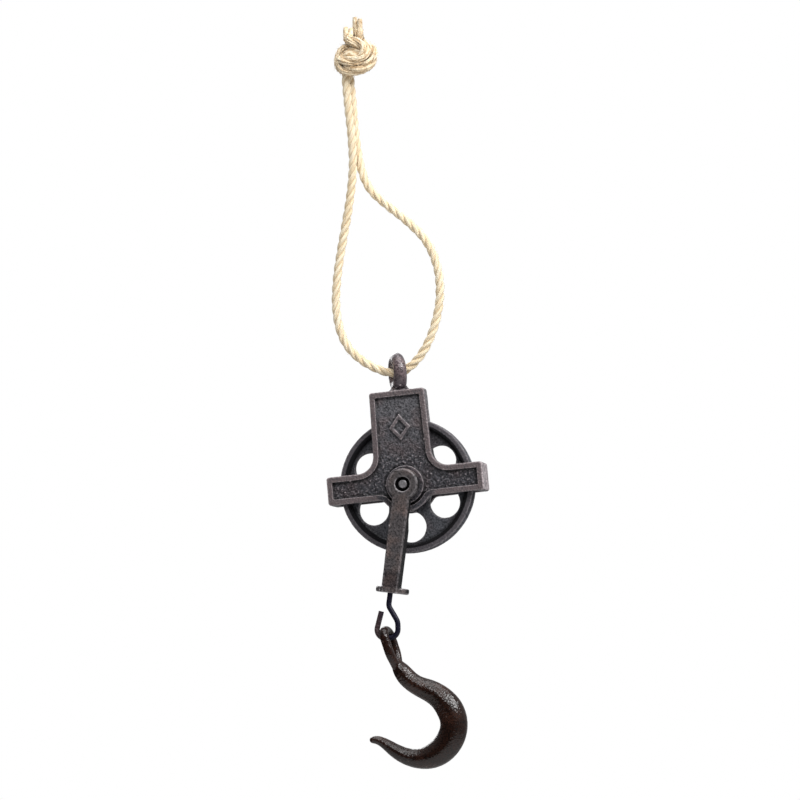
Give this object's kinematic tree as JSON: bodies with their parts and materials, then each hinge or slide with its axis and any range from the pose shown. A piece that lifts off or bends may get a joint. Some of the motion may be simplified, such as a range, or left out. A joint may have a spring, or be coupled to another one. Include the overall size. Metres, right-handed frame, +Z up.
{
  "type": "hanging block pulley with hook",
  "caption": "Cast-iron block pulley on a knotted rope loop: a swivel eye, a rimmed T-shaped frame, a holed sheave, a hanger strap on the axle, a wire swivel and a large open hook.",
  "frame": {"origin": "hanging point between the two rope strands, just under the knot", "axes": "+Z up, +X to the right and -Y towards the viewer of the front cheek; the axle lies along Y"},
  "size_m": [0.095, 0.0342, 0.4564],
  "materials": {
    "cast_iron": "dark waxed cast iron with brown edges",
    "dull_steel": "dull worn steel",
    "black_wire": "black drawn wire",
    "bush_brass": "plain turned",
    "rope": "natural sisal, three-strand laid"
  },
  "bodies": {
    "rope": {"rope_loop": "rope", "rope_knot": "rope"},
    "eye": {"swivel_eye": "cast_iron"},
    "frame": {"frame_front_half": "cast_iron", "frame_rear_half": "cast_iron", "arm_rivets": "dull_steel", "crown_rivets": "dull_steel", "axle_pin": "dull_steel", "thrust_washer_front": "dull_steel", "thrust_washer_rear": "dull_steel", "strap_washer": "dull_steel", "head_washer": "dull_steel", "axle_clip": "dull_steel"},
    "sheave": {"sheave_wheel": "cast_iron", "sheave_bush": "bush_brass"},
    "hanger": {"hanger_strap": "cast_iron"},
    "swivel": {"swivel_wire": "black_wire", "swivel_washer": "dull_steel"},
    "hook": {"cargo_hook": "cast_iron"}
  },
  "joints": [
    {"name": "eye_swing", "type": "hinge", "parent": "rope", "child": "eye", "pos_m": [0.0143, 0, -0.17835], "axis": [0.9781, 0.2079, 0], "range_deg": [-60, 60]},
    {"name": "frame_swivel", "type": "hinge", "parent": "eye", "child": "frame", "pos_m": [0.0143, 0, -0.1902], "axis": [0, 0, 1], "continuous": true},
    {"name": "sheave_spin", "type": "hinge", "parent": "frame", "child": "sheave", "pos_m": [0.0143, 0, -0.247], "axis": [0, 1, 0], "continuous": true},
    {"name": "hanger_swing", "type": "hinge", "parent": "frame", "child": "hanger", "pos_m": [0.0143, 0, -0.247], "axis": [0, 1, 0], "range_deg": [-57, 33]},
    {"name": "hook_swivel", "type": "hinge", "parent": "hanger", "child": "swivel", "pos_m": [0.00066, -0.0132, -0.30851], "axis": [0.2164, 0, 0.9763], "continuous": true},
    {"name": "hook_swing", "type": "hinge", "parent": "swivel", "child": "hook", "pos_m": [-0.0036, -0.0132, -0.337], "axis": [1, 0, 0], "range_deg": [-75, 75]}
  ]
}
